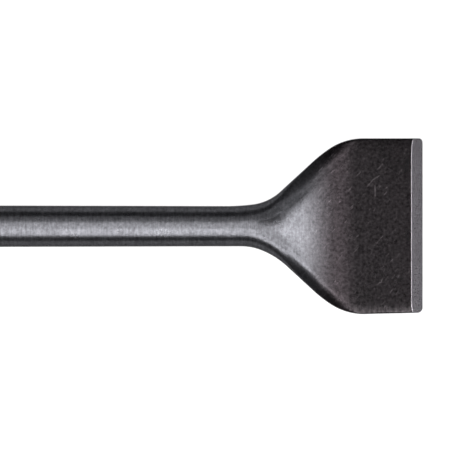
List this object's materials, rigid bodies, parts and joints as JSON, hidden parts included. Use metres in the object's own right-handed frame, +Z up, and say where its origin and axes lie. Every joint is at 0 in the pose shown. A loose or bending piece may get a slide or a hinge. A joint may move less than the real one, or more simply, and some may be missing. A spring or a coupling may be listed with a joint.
{
  "type": "wide hammer chisel",
  "caption": "Forged scaling chisel: a round slotted shank and shaft that flares and flattens into a wide blade with a ground cutting edge.",
  "frame": {"origin": "centre of the shank's end face, on the tool's axis", "axes": "+X along the tool to the cutting edge, +Y across the blade, +Z up; the tool lies at rest on the underside of its bar, with the blade level"},
  "size_m": [0.3048, 0.0762, 0.018],
  "materials": {
    "forged_steel": "forged, dark oxide scale, with the bevels of the cutting edge ground"
  },
  "bodies": {
    "root": {"chisel": "forged_steel"}
  },
  "joints": []
}
